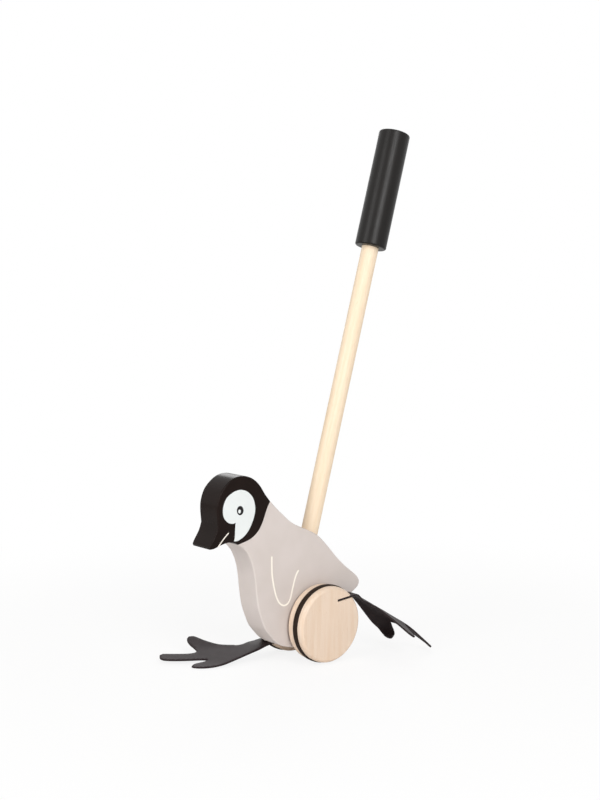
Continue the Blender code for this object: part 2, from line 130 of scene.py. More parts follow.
def flow(knots: Pairs, step: float) -> list[Vector]:
    """Run a smooth curve through knots.

    Args:
        knots: The places that the curve passes, in millimetres.
        step: The length of each straight piece, in millimetres.

    Returns:
        The points of the curve, its first and last knots among them.
    """
    points = [Vector(knot) for knot in knots]
    ends = [2 * points[0] - points[1], *points, 2 * points[-1] - points[-2]]
    curve = [points[0]]
    for before, start, end, after in zip(ends, ends[1:], ends[2:], ends[3:]):
        pieces = max(1, round((end - start).length / step))
        for i in range(1, pieces + 1):
            t = i / pieces
            curve.append(0.5 * (2 * start + (end - before) * t
                                + (2 * before - 5 * start + 4 * end - after) * t ** 2
                                + (3 * start - before - 3 * end + after) * t ** 3))
    return curve


def arc(centre: Pair, radius: float, start: float, end: float, steps: int) -> list[Vector]:
    """Return the points of an arc in some steps, between two angles in degrees from the first axis."""
    turns = [math.radians(start + (end - start) * i / steps) for i in range(steps + 1)]
    return [Vector((centre[0] + radius * math.cos(t), centre[1] + radius * math.sin(t))) for t in turns]


def take(*pieces: Piece) -> None:
    """Select some pieces alone.

    Args:
        pieces: The pieces, of which the first becomes the active one.
    """
    bpy.ops.object.select_all(action="DESELECT")
    for piece in pieces:
        piece.select_set(True)
    bpy.context.view_layer.objects.active = pieces[0]


@contextmanager
def editing(piece: Piece) -> Iterator[None]:
    """Work on a piece in edit mode, with all of it selected.

    Args:
        piece: The piece to edit.

    Yields:
        Nothing.
    """
    take(piece)
    bpy.ops.object.mode_set(mode="EDIT")
    bpy.ops.mesh.select_mode(type="VERT")
    bpy.ops.mesh.select_all(action="SELECT")
    yield
    bpy.ops.object.mode_set(mode="OBJECT")


def is_rim(edge: bmesh.types.BMEdge, axis: int) -> bool:
    """Say whether an edge runs round one of the two flat faces that are square to an axis."""
    flat = [abs(face.normal[axis]) > 0.5 for face in edge.link_faces]
    return any(flat) and not all(flat)


def round_edges(piece: Piece, radius: float, segments: int, test: EdgeTest) -> None:
    """Round the edges of the piece in edit mode that pass a test.

    Args:
        piece: The piece that is being edited.
        radius: The size of the rounding, in millimetres.
        segments: The number of facets across it.
        test: Says whether an edge is wanted.
    """
    bpy.ops.mesh.select_mode(type="EDGE")
    bpy.ops.mesh.select_all(action="DESELECT")
    shape = bmesh.from_edit_mesh(piece.data)
    for edge in shape.edges:
        edge.select_set(test(edge))
    bmesh.update_edit_mesh(piece.data)
    bpy.ops.mesh.bevel(offset=radius * MM, segments=segments, profile=0.5, affect="EDGES",
                       clamp_overlap=False)


def trace(name: str, points: Sequence[Vector], fill: bool = False) -> Piece:
    """Draw a line by pulling one vertex from point to point.

    Args:
        name: The new piece's name.
        points: The places that the line passes, in metres.
        fill: Whether the line is closed and filled with a face.

    Returns:
        The piece, at the origin.
    """
    bpy.ops.object.select_all(action="DESELECT")
    bpy.ops.mesh.primitive_plane_add(size=MM, location=points[0])
    piece = bpy.context.object
    piece.name = name
    piece.data.name = name
    with editing(piece):
        bpy.ops.mesh.merge(type="CENTER")
        for before, point in zip(points, points[1:]):
            bpy.ops.mesh.extrude_region_move(TRANSFORM_OT_translate={"value": point - before})
        if fill:
            bpy.ops.mesh.select_all(action="SELECT")
            bpy.ops.mesh.edge_face_add()
    bpy.ops.object.transform_apply(location=True, rotation=True, scale=True)
    return piece


def clean() -> None:
    """Merge the doubles of the piece in edit mode and turn its faces outwards."""
    bpy.ops.mesh.select_all(action="SELECT")
    bpy.ops.mesh.remove_doubles(threshold=MERGE)
    bpy.ops.mesh.normals_make_consistent(inside=False)


def pull(x: float, y: float, z: float) -> None:
    """Extrude what is selected in edit mode by a way in millimetres, and close the shape."""
    bpy.ops.mesh.extrude_region_move(TRANSFORM_OT_translate={"value": (x * MM, y * MM, z * MM)})
    clean()


def turn(piece: Piece, centre: Vector, axis: Vector, steps: int) -> Piece:
    """Spin a traced profile a full turn, as on a lathe.

    Args:
        piece: The profile.
        centre: A point on the axis.
        axis: The direction of the axis.
        steps: The number of facets round it.

    Returns:
        The same piece, closed.
    """
    with editing(piece):
        bpy.ops.mesh.spin(steps=steps, angle=math.tau, center=centre, axis=axis)
        clean()
    return piece


def carve(piece: Piece, cutter: Piece) -> None:
    """Cut one piece's shape out of another.

    Args:
        piece: The piece that is cut.
        cutter: The shape that is taken away, and is then removed.
    """
    modifier = piece.modifiers.new("cut", "BOOLEAN")
    modifier.operation = "DIFFERENCE"
    modifier.solver = "EXACT"
    modifier.object = cutter
    take(piece)
    bpy.ops.object.modifier_apply(modifier=modifier.name)
    bpy.data.objects.remove(cutter, do_unlink=True)


def copy_of(piece: Piece, name: str) -> Piece:
    """Copy a piece, with its own mesh.

    Args:
        piece: The piece to copy.
        name: The copy's name.

    Returns:
        The copy.
    """
    take(piece)
    bpy.ops.object.duplicate(linked=False)
    copy = bpy.context.object
    copy.name = name
    copy.data.name = name
    return copy


def twin(piece: Piece, name: str, scale: Triple) -> Piece:
    """Copy a piece to the other side of the axle's middle.

    Args:
        piece: The piece to copy.
        name: The copy's name.
        scale: Minus one on each axis that is turned over.

    Returns:
        The copy.
    """
    copy = copy_of(piece, name)
    with editing(copy):
        bpy.ops.transform.resize(value=scale, center_override=AXLE)
        clean()
    return copy


def smooth(piece: Piece, angle: float) -> None:
    """Shade a piece smooth, with its large faces kept flat.

    Args:
        piece: The piece.
        angle: The bend, in degrees, up to which an edge is smooth.
    """
    take(piece)
    bpy.ops.object.shade_smooth_by_angle(angle=math.radians(angle))
    modifier = piece.modifiers.new("flat faces lead", "WEIGHTED_NORMAL")
    modifier.keep_sharp = True
    bpy.ops.object.modifier_apply(modifier=modifier.name)


def dress(piece: Piece, *materials: bpy.types.Material) -> None:
    """Give a piece its materials.

    Args:
        piece: The piece.
        materials: Its materials, in the order of its faces' slots.
    """
    piece.data.materials.clear()
    for material in materials:
        piece.data.materials.append(material)


def settle(piece: Piece, body: Body, slot: Slot, *nodes: str) -> None:
    """Set a finished piece on its body.

    Args:
        piece: The piece, in place.
        body: The body that it moves with.
        slot: The record's material slot named for it; it is not used.
        nodes: The frame's nodes that it stands for.
    """
    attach(piece, body.value)
    if nodes:
        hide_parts(*nodes)
    LOG.info("%s: %d faces", piece.name, len(piece.data.polygons))


def feed(tree: Tree, node: bpy.types.Node, inputs: Inputs) -> None:
    """Set or link some inputs of a shader node.

    Args:
        tree: The material's node tree.
        node: The node.
        inputs: Values and output sockets by the name or number of the input they go to.
    """
    for name, value in inputs.items():
        if isinstance(value, Socket):
            tree.links.new(value, node.inputs[name])
        else:
            node.inputs[name].default_value = value


def add_node(tree: Tree, kind: str, inputs: Inputs | None = None,
             stops: Sequence[tuple[float, str]] = (), **settings: object) -> bpy.types.Node:
    """Add a shader node with its settings and links.

    Args:
        tree: The material's node tree.
        kind: The node's type, without the word ShaderNode.
        inputs: Values and output sockets by the name or number of the input they go to.
        stops: The places and hex colours of a colour ramp's two stops.
        settings: The node's own settings.

    Returns:
        The node.
    """
    node = tree.nodes.new("ShaderNode" + kind)
    for name, value in settings.items():
        setattr(node, name, value)
    feed(tree, node, inputs or {})
    for k, (place, colour) in enumerate(stops):
        node.color_ramp.elements[k].position = place
        node.color_ramp.elements[k].color = linear(colour)
    return node


@dataclass(frozen=True)
class Finish:
    """What every finish has: its name, its colour, its gloss, and how its pattern lies and stands out.

    The pattern is turned by tilt degrees about X. Its relief is in millimetres.
    """

    name: str
    colour: str
    roughness: float
    ior: float = 1.5
    metallic: float = 0.0
    specular: float = 0.5
    tilt: float = 0.0
    relief: float = 0.1
    strength: float = 0.35

    def material(self) -> bpy.types.Material:
        """Return the finish's material, made at its first use.

        Returns:
            The material, with its nodes linked.
        """
        known = bpy.data.materials.get(self.name)
        if known:
            return known
        material = bpy.data.materials.new(self.name)
        material.use_nodes = True
        tree = material.node_tree
        shader = tree.nodes["Principled BSDF"]
        feed(tree, shader, {"Base Color": linear(self.colour), "Roughness": self.roughness, "IOR": self.ior,
                            "Metallic": self.metallic, "Specular IOR Level": self.specular})
        inputs, height = self.weave(tree)
        feed(tree, shader, inputs)
        if height is not None:
            bump = add_node(tree, "Bump", {"Height": height, "Strength": self.strength,
                                           "Distance": self.relief * MM})
            feed(tree, shader, {"Normal": bump.outputs["Normal"]})
        return material

    def weave(self, tree: Tree) -> Woven:
        """Build the finish's pattern.

        Args:
            tree: The material's node tree.

        Returns:
            What the pattern gives the shader's inputs, and the height that it stands out by, if any.
        """
        raise NotImplementedError

    def grained(self, tree: Tree, grain: Triple, detail: float = 2.0, swirl: float = 0.0,
                own: Socket | None = None) -> Socket:
        """Build a cloudy pattern of grains that lie along the tilt.

        Args:
            tree: The material's node tree.
            grain: The size of one grain along X, Y and Z, in millimetres.
            detail: How finely the grains are broken up.
            swirl: How far they are drawn out of shape.
            own: The coordinates that they follow, if not the piece's own.

        Returns:
            The socket of the pattern, from nought to one.
        """
        if own is None:
            own = add_node(tree, "TexCoord").outputs["Object"]
        turned = add_node(tree, "VectorRotate", {"Vector": own, "Angle": math.radians(self.tilt)},
                          rotation_type="X_AXIS")
        scale = tuple(1 / (size * MM) for size in grain)
        place = add_node(tree, "Mapping", {"Vector": turned.outputs[0], "Scale": scale})
        noise = add_node(tree, "TexNoise", {"Vector": place.outputs[0], "Scale": 1.0, "Detail": detail,
                                            "Distortion": swirl})
        return noise.outputs["Fac"]


@dataclass(frozen=True)
class SprayedPaint(Finish):
    """Satin paint sprayed on sanded beech: an even colour with a faint orange peel over the grain."""

    shade: str = "#000000"
    cloud: float = 30.0
    peel: float = 1.6
    grain: Triple = (0.9, 24.0, 0.9)
    relief: float = 0.05

    def weave(self, tree: Tree) -> Woven:
        """Mottle the paint a little, and let the peel and the grain show in its gloss."""
        tone = add_node(tree, "ValToRGB", {"Fac": self.grained(tree, (self.cloud,) * 3)},
                        stops=((0.35, self.shade), (0.65, self.colour)))
        peel = self.grained(tree, (self.peel,) * 3, 1.0)
        height = add_node(tree, "Math", {0: peel, 1: self.grained(tree, self.grain)}, operation="ADD")
        return {"Base Color": tone.outputs["Color"]}, height.outputs[0]


@dataclass(frozen=True)
class ClearBeech(Finish):
    """Turned or planed hardwood under a clear coat: long growth lines, fine fibres and short dark flecks."""

    line: str = "#000000"
    fleck: str = "#000000"
    ring_grain: Triple = (4.0, 4.0, 70.0)
    fibre_grain: Triple = (0.8, 0.8, 14.0)
    fleck_grain: Triple = (1.1, 1.1, 4.5)
    relief: float = 0.06
    strength: float = 0.25

    def weave(self, tree: Tree) -> Woven:
        """Mix the growth lines with the flecks, and raise the fibres a little."""
        growth = self.grained(tree, self.ring_grain, 3.0, 0.4)
        fibre = self.grained(tree, self.fibre_grain)
        both = add_node(tree, "Mix", {0: 0.35, 2: growth, 3: fibre})
        wood = add_node(tree, "ValToRGB", {"Fac": both.outputs[0]},
                        stops=((0.38, self.line), (0.60, self.colour)))
        mask = add_node(tree, "MapRange", {0: self.grained(tree, self.fleck_grain), 1: 0.66, 2: 0.74,
                                           4: 0.45})
        mixed = add_node(tree, "Mix", {0: mask.outputs[0], 6: wood.outputs["Color"],
                                       7: linear(self.fleck)}, data_type="RGBA")
        return {"Base Color": mixed.outputs[2]}, fibre


@dataclass(frozen=True)
class LacqueredWood(Finish):
    """Black lacquer brushed on a turned handle: satin, with the long open pores of the wood in its gloss."""

    pore: Triple = (0.9, 0.9, 9.0)
    relief: float = 0.12
    strength: float = 0.4

    def weave(self, tree: Tree) -> Woven:
        """Sink the pores in the lacquer and make them duller."""
        pores = self.grained(tree, self.pore, 4.0)
        dull = add_node(tree, "MapRange", {0: pores, 1: 0.3, 2: 0.7, 3: self.roughness + 0.1,
                                           4: self.roughness - 0.04})
        return {"Roughness": dull.outputs[0]}, pores


@dataclass(frozen=True)
class MouldedRubber(Finish):
    """Solid rubber cord moulded into a ring: dull, with a fine matt bloom on it."""

    bloom: str = "#000000"
    cloud: float = 7.0
    grit: float = 0.9
    strength: float = 0.3

    def weave(self, tree: Tree) -> Woven:
        """Cloud the rubber with its bloom, and grain it."""
        tone = add_node(tree, "ValToRGB", {"Fac": self.grained(tree, (self.cloud,) * 3, 3.0)},
                        stops=((0.3, self.colour), (0.7, self.bloom)))
        return {"Base Color": tone.outputs["Color"]}, self.grained(tree, (self.grit,) * 3)


@dataclass(frozen=True)
class CutSheetRubber(Finish):
    """Flexible rubber sheet, calendered with fine cross ridges and cut to shape: black with a soft sheen.

    The ridges of the real sheet are about 0.5 mm apart, and are drawn at 1.5 mm so that they show.
    """

    bloom: str = "#000000"
    cloud: float = 12.0
    ridge: float = 1.5
    grit: float = 0.8
    relief: float = 0.12

    def weave(self, tree: Tree) -> Woven:
        """Run the ridges across the flat sheet, so that they follow its bends."""
        flat = add_node(tree, "Attribute", attribute_name=Foot.FLAT_PLACE).outputs["Vector"]
        tone = add_node(tree, "ValToRGB", {"Fac": self.grained(tree, (self.cloud,) * 3, 3.0, own=flat)},
                        stops=((0.3, self.colour), (0.7, self.bloom)))
        ridges = add_node(tree, "TexWave",
                          {"Vector": flat, "Scale": WAVE / (self.ridge * MM), "Distortion": 0.6,
                           "Detail": 1.0, "Detail Scale": 1.0}, bands_direction="Y")
        height = add_node(tree, "Mix", {0: 0.5, 2: ridges.outputs["Fac"],
                                        3: self.grained(tree, (self.grit,) * 3, own=flat)})
        return {"Base Color": tone.outputs["Color"]}, height.outputs[0]


@dataclass(frozen=True)
class DrawnSteel(Finish):
    """Cold drawn steel rod: bright, with fine drawing lines along it."""

    line: Triple = (20.0, 0.4, 0.4)

    def weave(self, tree: Tree) -> Woven:
        """Let the drawing lines vary the gloss."""
        gloss = add_node(tree, "MapRange", {0: self.grained(tree, self.line), 3: self.roughness - 0.08,
                                            4: self.roughness + 0.12})
        return {"Roughness": gloss.outputs[0]}, None


@dataclass(frozen=True)
class TurnedNylon(Finish):
    """Natural nylon washer, turned from rod: milky, with faint tool lines."""

    line: float = 0.5
    relief: float = 0.05
    strength: float = 0.2
    milk: float = 0.15

    def weave(self, tree: Tree) -> Woven:
        """Raise the rings that the tool leaves round the bore, and let light in a little."""
        own = add_node(tree, "TexCoord").outputs["Object"]
        centred = add_node(tree, "VectorMath", {0: own, 1: tuple(AXLE)}, operation="SUBTRACT")
        rings = add_node(tree, "TexWave",
                         {"Vector": centred.outputs[0], "Scale": WAVE / (self.line * MM)},
                         wave_type="RINGS", rings_direction="X")
        inputs = {"Subsurface Weight": self.milk, "Subsurface Radius": (MM, MM, MM)}
        return inputs, rings.outputs["Fac"]


STICK_TILT = 15.8
GREY_PAINT = SprayedPaint("warm_grey_satin_paint", "#D4CAC5", 0.48, shade="#CFC5BF", specular=0.3)
BLACK_PAINT = SprayedPaint("black_satin_paint", "#1F1613", 0.26, shade="#1B1310", specular=0.08)
WHITE_PAINT = SprayedPaint("white_satin_paint", "#E6EAE9", 0.42, shade="#E3E7E6", specular=0.3)
CREAM_PAINT = SprayedPaint("cream_satin_paint", "#FBF5EB", 0.45, shade="#F8F1E5", specular=0.3)
EYE_PAINT = SprayedPaint("black_gloss_paint", "#141012", 0.15, shade="#100D0F", specular=0.3)
WHEEL_BEECH = ClearBeech("turned_beech_clear_coat", "#E6D1BD", 0.45, line="#E1C8B0", fleck="#D3B394",
                         specular=0.3)
DOWEL_BIRCH = ClearBeech("sanded_dowel_clear_coat", "#F0DCC2", 0.48, line="#EBD4B6", fleck="#DEC49E",
                         ring_grain=(3.0, 3.0, 90.0), tilt=STICK_TILT, specular=0.3)
GRIP_LACQUER = LacqueredWood("black_lacquer_on_turned_wood", "#120F0D", 0.32, tilt=STICK_TILT,
                             specular=0.25)
RING_RUBBER = MouldedRubber("brown_black_moulded_rubber", "#21160F", 0.6, bloom="#2A1E15", specular=0.15)
FOOT_RUBBER = CutSheetRubber("black_cut_sheet_rubber", "#261E1F", 0.45, bloom="#2F2728", specular=0.1)
AXLE_STEEL = DrawnSteel("drawn_steel", "#C4C6C8", 0.28, metallic=1.0)
WASHER_NYLON = TurnedNylon("turned_natural_nylon", "#E7E4DA", 0.45, ior=1.53)


@dataclass
class Studio:
    """The camera, the pale floor and the soft light."""

    eye: Triple = (945.4, -776.0, 316.9)
    target: Triple = (0.0, -7.67, 204.15)
    lens: float = 60.165
    sensor: float = 36.0
    floor_size: float = 12000.0
    floor_colour: str = "#F8F7F6"
    near_shadow: float = 0.16
    shadow_reach: Pair = (220.0, 620.0)
    world_level: float = 0.42
    lamps: tuple[tuple[str, Triple, Pair, float], ...] = (
        ("key_softbox", (1431.0, -449.0, 900.0), (600.0, 1300.0), 16.0),
        ("fill_softbox", (68.0, -1498.0, 700.0), (600.0, 1200.0), 9.5),
        ("back_softbox", (-1300.0, 1100.0, 1100.0), (1100.0, 1100.0), 10.0),
    )

    def build(self) -> None:
        """Set up the camera, the floor, the lamps and the world."""
        self.set_camera()
        self.lay_floor()
        for name, place, size, power in self.lamps:
            self.hang_lamp(name, place, size, power)
        self.light_world()
        bpy.context.scene.view_settings.view_transform = "Standard"

    def set_camera(self) -> None:
        """Stand the camera where the photograph was taken from."""
        data = bpy.data.cameras.new("photo_camera")
        data.lens = self.lens
        data.sensor_width = self.sensor
        data.clip_end = 100.0
        bpy.context.scene.camera = self.aim(data, self.eye)

    def aim(self, data: bpy.types.ID, place: Triple) -> Piece:
        """Stand a camera or hang a lamp so that it faces the middle of the toy.

        Args:
            data: The camera's or the lamp's data.
            place: Its place off the axle, in millimetres.

        Returns:
            The camera or the lamp.
        """
        piece = bpy.data.objects.new(data.name, data)
        piece.location = at(*place)
        look = at(*self.target) - piece.location
        piece.rotation_euler = look.to_track_quat("-Z", "Y").to_euler()
        bpy.context.scene.collection.objects.link(piece)
        return piece

    def hang_lamp(self, name: str, place: Triple, size: Pair, power: float) -> None:
        """Hang one soft box.

        Args:
            name: The lamp's name.
            place: Its place off the axle, in millimetres.
            size: Its width and height, in millimetres.
            power: Its power in watts.
        """
        data = bpy.data.lights.new(name, "AREA")
        data.shape = "RECTANGLE"
        data.size = size[0] * MM
        data.size_y = size[1] * MM
        data.energy = power
        self.aim(data, place).visible_camera = False

    def lay_floor(self) -> None:
        """Lay a pale floor that looks white and keeps a soft shadow near the toy."""
        bpy.ops.object.select_all(action="DESELECT")
        bpy.ops.mesh.primitive_plane_add(size=self.floor_size * MM, location=(0, 0, 0))
        floor = bpy.context.object
        floor.name = "studio_floor"
        material = bpy.data.materials.new("pale_floor")
        material.use_nodes = True
        tree = material.node_tree
        tree.nodes.clear()
        own = add_node(tree, "TexCoord").outputs["Object"]
        reach = add_node(tree, "VectorMath", {0: own}, operation="LENGTH").outputs["Value"]
        near, far = (r * MM for r in self.shadow_reach)
        white = add_node(tree, "MapRange",
                         {0: reach, 1: near, 2: far, 3: 1 - self.near_shadow, 4: 1.0},
                         interpolation_type="SMOOTHSTEP")
        seen = add_node(tree, "LightPath").outputs["Is Camera Ray"]
        share = add_node(tree, "Math", {0: white.outputs[0], 1: seen}, operation="MULTIPLY")
        matt = add_node(tree, "BsdfDiffuse", {"Color": linear(self.floor_colour)})
        glow = add_node(tree, "Emission", {"Color": (1, 1, 1, 1), "Strength": 1.0})
        both = add_node(tree, "MixShader",
                        {0: share.outputs[0], 1: matt.outputs[0], 2: glow.outputs[0]})
        add_node(tree, "OutputMaterial", {"Surface": both.outputs[0]})
        dress(floor, material)

    def light_world(self) -> None:
        """Fill the room with even light that looks white behind the toy and in its gloss."""
        world = bpy.data.worlds.new("studio_world")
        bpy.context.scene.world = world
        world.use_nodes = True
        tree = world.node_tree
        tree.nodes.clear()
        path = add_node(tree, "LightPath")
        seen = add_node(tree, "Math",
                        {0: path.outputs["Is Camera Ray"], 1: path.outputs["Is Glossy Ray"]},
                        operation="MAXIMUM")
        clear = add_node(tree, "Math",
                         {0: seen.outputs[0], 1: path.outputs["Is Transmission Ray"]}, operation="MAXIMUM")
        level = add_node(tree, "MapRange", {0: clear.outputs[0], 3: self.world_level, 4: 1.0})
        sky = add_node(tree, "Background", {"Color": (1, 1, 1, 1), "Strength": level.outputs[0]})
        add_node(tree, "OutputWorld", {"Surface": sky.outputs[0]})


@dataclass
class Plank:
    """The bird: a plank sawn to its side outline, painted, with its face painted on both sides."""

    thickness: float = 27.0
    edge_round: float = 1.3
    step: float = 2.0
    axle_bore: float = 9.0
    stick_bore: float = 16.1
    drill_reach: float = 120.0
    crown: Pairs = (
        (-52.6, 117.3), (-58.0, 124.0), (-63.5, 132.0), (-69.0, 137.4), (-75.0, 140.8), (-82.3, 142.6),
        (-90.0, 142.1), (-96.4, 139.5), (-102.7, 134.6), (-107.0, 129.2), (-109.9, 121.5), (-110.7, 113.5),
        (-109.7, 101.4),
    )
    beak_top: Pairs = ((-109.7, 101.4), (-112.2, 94.6), (-117.4, 86.4), (-119.0, 83.2))
    beak_under: Pairs = (
        (-118.3, 81.4), (-114.0, 81.5), (-106.5, 83.8), (-99.0, 85.1), (-92.5, 84.2), (-88.7, 82.1),
    )
    breast: Pairs = (
        (-88.7, 82.1), (-84.9, 79.7), (-80.6, 75.7), (-77.3, 71.5), (-74.0, 64.8), (-71.5, 57.2),
        (-69.9, 48.0), (-68.6, 36.0), (-66.6, 23.0), (-64.2, 14.8), (-60.9, 6.5), (-57.7, 0.0),
        (-52.4, -6.4), (-47.3, -11.9), (-41.6, -16.2), (-34.6, -19.1), (-26.4, -20.7), (-8.0, -21.5),
        (10.0, -19.0), (25.0, -9.0), (35.5, 6.0), (43.4, 18.9),
    )
    tail: Pairs = (
        (43.4, 18.9), (48.4, 21.8), (52.2, 24.6), (53.9, 27.9), (53.5, 30.9), (51.5, 34.1), (48.3, 37.1),
    )
    back: Pairs = (
        (48.3, 37.1), (43.6, 40.7), (36.4, 46.3), (30.2, 51.9), (24.6, 57.4), (14.9, 68.0), (3.4, 79.0),
        (-8.0, 85.4), (-18.0, 89.9), (-24.5, 92.9), (-30.8, 97.1), (-37.7, 103.1), (-44.5, 109.2),
        (-52.6, 117.3),
    )
    cap_edge: Pairs = (
        (-52.6, 117.3), (-54.9, 113.9), (-57.4, 108.8), (-59.5, 103.6), (-61.8, 98.5), (-65.1, 93.2),
        (-70.2, 88.4), (-75.7, 85.4), (-81.3, 83.8), (-86.7, 82.8), (-88.7, 82.1),
    )

    def build(self) -> None:
        """Saw, round, bore and paint the plank."""
        half = self.thickness / 2
        edge = self.square_ended(flow(self.cap_edge, self.step))
        head = [*flow(self.crown, self.step), *flow(self.beak_top, self.step)[1:],
                *flow(self.beak_under, self.step), *reversed(edge[1:-1])]
        belly = [*flow(self.breast, self.step), *flow(self.tail, self.step)[1:],
                 *flow(self.back, self.step)[1:], *edge[1:-1]]
        plank = trace("plank_painted", [at(half, *point) for point in belly], fill=True)
        cap = trace("cap", [at(half, *point) for point in head], fill=True)
        dress(plank, GREY_PAINT.material())
        dress(cap, BLACK_PAINT.material())
        take(plank, cap)
        bpy.ops.object.join()
        with editing(plank):
            bpy.ops.mesh.remove_doubles(threshold=MERGE)
            pull(-self.thickness, 0, 0)
            round_edges(plank, self.edge_round, 5, lambda edge: is_rim(edge, 0))
        carve(plank, self.axle_drill())
        carve(plank, self.stick_drill())
        smooth(plank, 21)
        settle(plank, Body.TOY, Slot.PAINT, "body")

    def square_ended(self, line: Sequence[Vector]) -> list[Vector]:
        """Leave out the points of a line that lie so near its ends that the rounding would pass them.

        Args:
            line: The points of the line.

        Returns:
            The points that are left, both ends among them.
        """
        inner = [point for point in line
                 if min((point - line[0]).length, (point - line[-1]).length) > 3 * self.edge_round]
        return [line[0], *inner, line[-1]]

    def axle_drill(self) -> Piece:
        """Turn the cutter of the axle's bore.

        Returns:
            The cutter.
        """
        reach = self.thickness
        radius = self.axle_bore / 2
        profile = ((-reach, 0), (-reach, radius), (reach, radius), (reach, 0))
        drill = trace("axle_drill", [at(x, 0, r) for x, r in profile])
        return turn(drill, AXLE, Vector((1, 0, 0)), 48)

    def stick_drill(self) -> Piece:
        """Turn the cutter of the stick's socket.

        Returns:
            The cutter.
        """
        radius = self.stick_bore / 2
        profile = [(0, 0), (radius, 0), (radius, self.drill_reach), (0, self.drill_reach)]
        return Handle().rod("stick_drill", profile, 64)


@dataclass
class PaintedFace:
    """The white cheek, the eye, the mouth and the wing line, brushed on both sides of the head."""

    plank_half: float = Plank.thickness / 2
    sunk: float = 0.1
    cheek_build: float = 0.35
    line_build: float = 0.25
    eye_build: float = 0.55
    glint_build: float = 0.7
    soft_edge: float = 0.12
    step: float = 1.6
    cheek_front: Pairs = ((-93.2, 85.9), (-92.4, 87.9), (-92.1, 92.3), (-91.7, 98.5), (-91.2, 102.1))
    cheek_round: Pairs = (
        (-91.2, 102.1), (-93.7, 101.6), (-97.5, 102.1), (-101.2, 104.5), (-103.9, 107.9), (-104.9, 112.4),
        (-104.6, 116.7), (-103.2, 121.0), (-100.5, 125.1), (-96.2, 128.1), (-90.8, 130.2), (-85.3, 130.6),
        (-79.3, 128.8), (-74.9, 125.5), (-71.7, 121.1), (-70.0, 114.7), (-70.1, 109.3), (-71.8, 103.3),
        (-74.6, 97.8), (-77.9, 92.8), (-82.3, 88.9), (-86.7, 86.6), (-90.0, 85.6), (-93.2, 85.9),
    )
    eye: Pair = (-86.5, 112.4)
    eye_half: Pair = (3.6, 4.1)
    glint: Pair = (-87.3, 111.7)
    glint_half: Pair = (1.4, 1.7)
    eye_tilt: float = 12.0
    mouth: Pairs = ((-99.0, 93.8), (-103.4, 90.1), (-107.2, 86.2), (-110.1, 83.1))
    mouth_width: float = 1.0
    wing: Pairs = (
        (-51.2, 66.4), (-51.2, 59.1), (-50.9, 50.8), (-49.8, 43.4), (-47.9, 34.9), (-45.5, 27.8),
        (-42.2, 22.6), (-37.6, 19.9), (-33.0, 21.0), (-30.0, 25.0), (-27.7, 32.7), (-25.3, 40.7),
        (-23.0, 46.4), (-20.6, 49.7),
    )
    wing_width: float = 1.5

    def build(self) -> None:
        """Brush each shape on the left side and copy it to the right."""
        cheek = [*flow(self.cheek_front, self.step)[:-1], *flow(self.cheek_round, self.step)[:-1]]
        shapes = (
            ("cheek_patch", cheek, self.cheek_build, WHITE_PAINT),
            ("eye", self.oval(self.eye, self.eye_half, 32), self.eye_build, EYE_PAINT),
            ("eye_glint", self.oval(self.glint, self.glint_half, 16), self.glint_build, WHITE_PAINT),
            ("mouth_line", self.stroke(self.mouth, self.mouth_width), self.line_build, CREAM_PAINT),
            ("wing_line", self.stroke(self.wing, self.wing_width), self.line_build, CREAM_PAINT),
        )
        for name, outline, build_up, finish in shapes:
            piece = self.brush(name + "_left", outline, build_up)
            dress(piece, finish.material())
            smooth(piece, 50)
            copy = twin(piece, name + "_right", (-1, 1, 1))
            for painted in (piece, copy):
                settle(painted, Body.TOY, Slot.PAINT)

    def oval(self, centre: Pair, half: Pair, steps: int) -> list[Vector]:
        """Return the outline of a tilted oval.

        Args:
            centre: Its middle.
            half: Half its width and height.
            steps: The number of its points.

        Returns:
            The points, once round.
        """
        tilt = Matrix.Rotation(math.radians(self.eye_tilt), 2)
        turns = [math.tau * k / steps for k in range(steps)]
        return [Vector(centre) + tilt @ Vector((half[0] * math.cos(t), half[1] * math.sin(t)))
                for t in turns]

    def stroke(self, knots: Pairs, width: float) -> list[Vector]:
        """Return the outline of a brush stroke with round ends.

        Args:
            knots: The places that the stroke's middle passes.
            width: Its width.

        Returns:
            The points, once round.
        """
        line = flow(knots, self.step)
        steps = [after - before for before, after in zip([line[0], *line], [*line[1:], line[-1]])]
        across = [Vector((-way.y, way.x)).normalized() * width / 2 for way in steps]
        one = [point + side for point, side in zip(line, across)]
        other = [point - side for point, side in zip(line, across)]
        start = line[0] - steps[0].normalized() * width / 2
        end = line[-1] + steps[-1].normalized() * width / 2
        return [*one, end, *reversed(other), start]

    def brush(self, name: str, outline: Sequence[Vector], build_up: float) -> Piece:
        """Lay one painted shape on the plank's left face, with a soft raised edge.

        Args:
            name: The piece's name.
            outline: Its outline.
            build_up: How far it stands out of the plank.

        Returns:
            The piece.
        """
        piece = trace(name, [at(self.plank_half - self.sunk, *point) for point in outline], fill=True)
        top = AXLE.x + (self.plank_half + build_up) * MM
        with editing(piece):
            pull(self.sunk + build_up, 0, 0)
            round_edges(piece, self.soft_edge, 2,
                        lambda edge: all(abs(vert.co.x - top) < MERGE for vert in edge.verts))
        return piece


